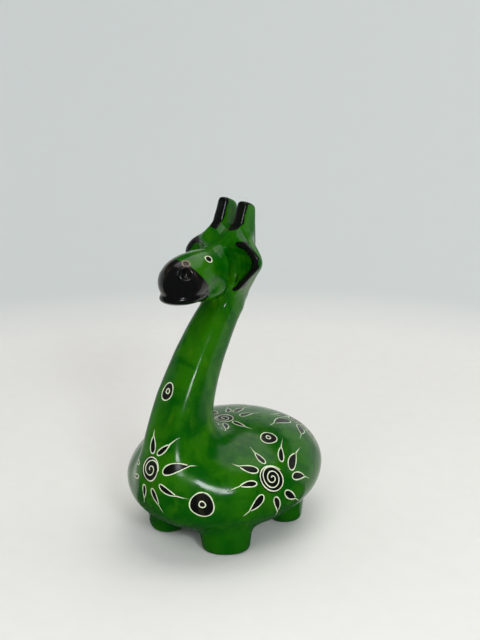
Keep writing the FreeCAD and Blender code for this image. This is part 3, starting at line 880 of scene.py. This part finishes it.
def make_object(name, piece):
    """A mesh object of a piece, in metres, with its marks as attributes and with smooth normals."""
    mesh = bpy.data.meshes.new(name)
    mesh.vertices.add(len(piece.points))
    mesh.vertices.foreach_set("co", (piece.points * MM).ravel())
    mesh.loops.add(piece.triangles.size)
    mesh.loops.foreach_set("vertex_index", piece.triangles.ravel().astype(np.int32))
    mesh.polygons.add(len(piece.triangles))
    mesh.polygons.foreach_set("loop_start", np.arange(0, piece.triangles.size, 3, dtype=np.int32))
    mesh.update(calc_edges=True)
    mesh.validate()
    mesh.polygons.foreach_set("use_smooth", np.ones(len(mesh.polygons), bool))
    for column, label in enumerate(("ink", "line", "wear"), start=3):
        attribute = mesh.attributes.new(label, "FLOAT", "POINT")
        attribute.data.foreach_set("value", piece.data[:, column].astype(np.float32))
    a, b, c = (piece.points[piece.triangles[:, i]] for i in range(3))
    flat = np.cross(b - a, c - a)
    flat /= np.maximum(np.linalg.norm(flat, axis=1), 1e-12)[:, None]
    loops = piece.data[:, :3][piece.triangles]
    loops[piece.cap] = flat[piece.cap][:, None]
    mesh.normals_split_custom_set(loops.reshape(-1, 3))
    obj = bpy.data.objects.new(name, mesh)
    bpy.context.scene.collection.objects.link(obj)
    return obj


# ---------------------------------------------------------------- materials


class Graph:
    """Short names for building a material's nodes."""

    def __init__(self, name):
        self.material = bpy.data.materials.new(name)
        self.material.use_nodes = True
        self.tree = self.material.node_tree
        self.shader = self.tree.nodes["Principled BSDF"]
        self.place = self.add("ShaderNodeTexCoord").outputs["Object"]

    def add(self, kind, inputs=(), **settings):
        node = self.tree.nodes.new(kind)
        for key, value in settings.items():
            setattr(node, key, value)
        for key, value in dict(inputs).items():
            self.put(node.inputs[key], value)
        return node

    def put(self, socket, value):
        if isinstance(value, bpy.types.NodeSocket):
            self.tree.links.new(value, socket)
        else:
            socket.default_value = value

    def noise(self, size, detail=3.0, rough=0.5, stretch=(1, 1, 1), warp=0.0):
        """Noise from 0 to 1 whose blotches are about size mm across."""
        at = self.add("ShaderNodeMapping", {"Vector": self.place, "Scale": stretch}).outputs[0]
        node = self.add("ShaderNodeTexNoise", {
            "Vector": at, "Scale": 1 / (size * MM), "Detail": detail, "Roughness": rough,
            "Distortion": warp})
        return node.outputs["Fac"]

    def math(self, kind, a, b=0.0):
        return self.add("ShaderNodeMath", {0: a, 1: b}, operation=kind).outputs[0]

    def band(self, value, low, high, to_low=0.0, to_high=1.0):
        """value carried smoothly from low..high to to_low..to_high."""
        node = self.add("ShaderNodeMapRange", {
            "Value": value, "From Min": low, "From Max": high, "To Min": to_low, "To Max": to_high},
            interpolation_type="SMOOTHSTEP")
        return node.outputs["Result"]

    def mix(self, share, a, b):
        """Colour a where share is 0 and colour b where it is 1."""
        node = self.add("ShaderNodeMix", data_type="RGBA")
        for key, value in ((0, share), (6, a), (7, b)):
            self.put(node.inputs[key], value)
        return node.outputs[2]

    def attribute(self, name):
        return self.add("ShaderNodeAttribute", attribute_name=name).outputs["Fac"]

    def height(self):
        """Metres above the floor."""
        return self.add("ShaderNodeSeparateXYZ", {0: self.place}).outputs["Z"]

    def bump(self, height, strength, distance, under=None):
        """A normal bent by a height of up to distance mm, on top of the bump under it."""
        node = self.add("ShaderNodeBump", {
            "Height": height, "Strength": strength, "Distance": distance * MM})
        if under is not None:
            self.put(node.inputs["Normal"], under)
        return node.outputs["Normal"]


GREEN_DEEP = (0.001, 0.072, 0.0005, 1)
GREEN_MAIN = (0.017, 0.120, 0.0005, 1)
GREEN_THIN = (0.085, 0.195, 0.001, 1)  # where the dye took thinly
BLACK_MAIN = (0.0035, 0.0035, 0.0035, 1)
BLACK_WORN = (0.020, 0.014, 0.010, 1)
LINE_FRESH = (0.72, 0.78, 0.55, 1)
LINE_GREY = (0.34, 0.42, 0.30, 1)
LINE_BROWN = (0.24, 0.16, 0.12, 1)
FRAY = 0.16  # how ragged the edges of lines and paint are, in mm
PAINTED_SHADE_LOW, PAINTED_SHADE_HIGH = 0.006, 0.034  # heights in metres over which the painted shade near the floor fades out of the green


def green_dye_and_painted_shade(g, streaks, grain):
    """Mottled green, thin in streaks, with painted shade that darkens it towards the feet."""
    mottle = g.noise(13, detail=4, rough=0.55, warp=0.6)
    green = g.mix(g.band(mottle, 0.36, 0.62), GREEN_DEEP, GREEN_MAIN)
    thin = g.math("MULTIPLY", g.band(streaks, 0.55, 0.80), 0.32)
    green = g.mix(thin, green, GREEN_THIN)
    green = g.mix(g.band(grain, 0.60, 0.85, 0.0, 0.25), green, GREEN_DEEP)
    # painted shade: low down, near the floor, the green is mixed towards its deepest tone
    return g.mix(g.band(g.height(), PAINTED_SHADE_LOW, PAINTED_SHADE_HIGH, 0.6, 0.0), green, GREEN_DEEP)


def scratched_stone(g, grain):
    """Bare stone in a scratched line: pale where fresh, grey or brown where worn."""
    worn = g.attribute("wear")
    pale = g.mix(g.band(worn, 0.0, 0.5), LINE_FRESH, LINE_GREY)
    pale = g.mix(g.band(worn, 0.6, 0.95), pale, LINE_BROWN)
    return g.mix(g.band(grain, 0.45, 0.75, 0.0, 0.35), pale, LINE_GREY)


def stone_material(name, all_black):
    """Waxed soapstone: mottled green dye with black paint and painted shade towards the feet, or black
    dye, and bare scratched lines.
    """
    g = Graph(name)
    streaks = g.noise(5.5, detail=3, stretch=(1, 1, 0.35), warp=0.3)
    grain = g.noise(0.9, detail=2)
    hairs = g.noise(0.55, detail=2, stretch=(1, 0.12, 0.5))
    fray = g.math("MULTIPLY", g.math("SUBTRACT", g.noise(0.7, detail=2), 0.5), FRAY)
    scratched = g.band(g.math("ADD", g.attribute("line"), fray), 0.05, -0.05)
    polish = g.band(g.noise(6, detail=4), 0.3, 0.7, 0.12, 0.21)
    dyed = g.mix(g.band(streaks, 0.50, 0.75, 0.0, 0.8), BLACK_MAIN, BLACK_WORN)
    if not all_black:
        inked = g.band(g.math("ADD", g.attribute("ink"), fray), 0.05, -0.05)
        worn_ink = g.math("MULTIPLY", inked, g.band(grain, 0.80, 0.66, 0.85, 0.99))
        # the green here carries painted shade towards the feet as well as the dye's mottling
        dyed = g.mix(worn_ink, green_dye_and_painted_shade(g, streaks, grain), dyed)
        polish = g.math("ADD", polish, g.math("MULTIPLY", inked, 0.07))
    g.put(g.shader.inputs["Base Color"], g.mix(scratched, dyed, scratched_stone(g, grain)))
    g.put(g.shader.inputs["Roughness"], g.math("ADD", polish, g.math("MULTIPLY", scratched, 0.38)))
    normal = g.bump(hairs, 0.10, 0.05)
    normal = g.bump(grain, 0.08, 0.05, normal)
    g.put(g.shader.inputs["Normal"], g.bump(g.noise(4.5, detail=2), 0.16, 0.25, normal))
    g.shader.inputs["IOR"].default_value = 1.3
    g.shader.inputs["Coat Weight"].default_value = 0.25 if all_black else 0.0
    g.shader.inputs["Coat Roughness"].default_value = 0.1
    return g.material


PAPER_DARKER = (0.865, 0.85, 0.825, 1)
PAPER_LIGHTER = (0.905, 0.89, 0.865, 1)
WALL = (0.70, 0.735, 0.735, 1)
WALL_FROM, WALL_FULL = 0.001, 0.022  # heights in metres between which the floor turns into the wall


def backdrop_material():
    """Plain pale paper, cooler on the wall than on the floor."""
    g = Graph("pale_paper")
    floor = g.mix(g.noise(9, detail=4), PAPER_DARKER, PAPER_LIGHTER)
    colour = g.mix(g.band(g.height(), WALL_FROM, WALL_FULL), floor, WALL)
    g.put(g.shader.inputs["Base Color"], colour)
    g.shader.inputs["Roughness"].default_value = 0.75
    return g.material


# ---------------------------------------------------------------- the setting

CAMERA_TURN, CAMERA_TILT = math.radians(39.6), math.radians(14.8)
CAMERA_AT = Vector((0.2523, -0.2950, 0.1996))
CAMERA_LENS, SENSOR_WIDTH = 50.6, 36
LIT_POINT = Vector((0, 0, 0.09))  # in the middle of the giraffe's height


def make_camera():
    """The camera, before the giraffe's left shoulder and a little above its head."""
    data = bpy.data.cameras.new("camera")
    data.lens, data.sensor_width = CAMERA_LENS, SENSOR_WIDTH
    data.clip_start = 0.01
    camera = bpy.data.objects.new("camera", data)
    camera.location = CAMERA_AT
    camera.rotation_euler = (math.pi / 2 - CAMERA_TILT, 0, CAMERA_TURN)
    bpy.context.scene.collection.objects.link(camera)
    bpy.context.scene.camera = camera


def make_light(name, turn, rise, far, size, power, colour):
    """An oblong light seen from the giraffe at turn degrees from -Y towards +X and rise degrees up, far
    metres off."""
    a, e = math.radians(turn), math.radians(rise)
    way = Vector((math.sin(a) * math.cos(e), -math.cos(a) * math.cos(e), math.sin(e)))
    data = bpy.data.lights.new(name, "AREA")
    data.shape, data.size, data.size_y = "RECTANGLE", size[0], size[1]
    data.energy, data.color = power, colour
    lamp = bpy.data.objects.new(name, data)
    lamp.location = LIT_POINT + way * far
    lamp.rotation_euler = way.to_track_quat("Z", "Y").to_euler()
    bpy.context.scene.collection.objects.link(lamp)
    return lamp


def make_lights():
    """A window, a soft ceiling, two fills that cast no highlights, and a dim room."""
    make_light("window", 59, 26, 0.85, (0.19, 0.13), 2.6, (0.93, 0.98, 1.0))
    make_light("ceiling", 170, 74, 0.95, (1.0, 1.0), 5.8, (1.0, 0.98, 0.95))
    for fill in (
            make_light("right_fill", -70, 35, 1.0, (0.9, 0.9), 1.1, (0.97, 0.98, 1.0)),
            make_light("front_fill", 15, 42, 1.1, (0.6, 0.6), 3.0, (1.0, 0.99, 0.96))):
        fill.visible_glossy = False
    world = bpy.data.worlds.new("soft_room")
    world.use_nodes = True
    room = world.node_tree.nodes["Background"]
    room.inputs["Color"].default_value = (0.90, 0.94, 1.0, 1)
    room.inputs["Strength"].default_value = 0.06
    bpy.context.scene.world = world


FLOOR_RADIUS = 0.26  # of the flat floor
SWEEP_RADIUS = 0.62  # of the bend from the floor up to the wall
SWEEP_ANGLE = math.radians(83.7)  # how far it bends up


def make_backdrop():
    """A round floor of pale paper that sweeps up all round, open above. Its half before the giraffe
    isn't seen in the polish."""
    steps, turns = 14, 96
    profile = [(FLOOR_RADIUS * i / 3, 0.0) for i in range(1, 4)]
    for i in range(1, steps + 1):
        a = SWEEP_ANGLE * i / steps
        profile.append((FLOOR_RADIUS + SWEEP_RADIUS * math.sin(a), SWEEP_RADIUS * (1 - math.cos(a))))
    verts = [(0, 0, 0)]
    for r, z in profile:
        verts += [(r * math.cos(t), r * math.sin(t), z) for t in np.arange(turns) * 2 * math.pi / turns]
    faces = [(0, 1 + i, 1 + (i + 1) % turns) for i in range(turns)]
    for ring in range(len(profile) - 1):
        a = 1 + ring * turns
        b = a + turns
        faces += [(a + i, b + i, b + (i + 1) % turns, a + (i + 1) % turns) for i in range(turns)]
    paper = backdrop_material()
    away = np.array([-math.sin(CAMERA_TURN), math.cos(CAMERA_TURN)])
    middles = np.array([np.mean([verts[i] for i in face], axis=0) for face in faces])
    behind = middles[:, :2] @ away > 0.0
    for name, chosen in (("backdrop_far", behind), ("backdrop_near", ~behind)):
        mesh = bpy.data.meshes.new(name)
        mesh.from_pydata(verts, [], [faces[i] for i in np.flatnonzero(chosen)])
        mesh.polygons.foreach_set("use_smooth", np.ones(len(mesh.polygons), bool))
        mesh.materials.append(paper)
        backdrop = bpy.data.objects.new(name, mesh)
        bpy.context.scene.collection.objects.link(backdrop)
        backdrop.visible_glossy = name == "backdrop_far"


bpy.context.scene.view_settings.view_transform = "Standard"
make_camera()
make_lights()
make_backdrop()
green_stone = stone_material("green_dyed_stone", all_black=False)
black_stone = stone_material("black_dyed_stone", all_black=True)
for node, piece in cut_pieces().items():
    black = node in ("muzzle", "lower_lip")
    carved = make_object(f"carved_{node}", piece)
    carved.data.materials.append(black_stone if black else green_stone)
    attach(carved, "root")
    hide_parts(node)
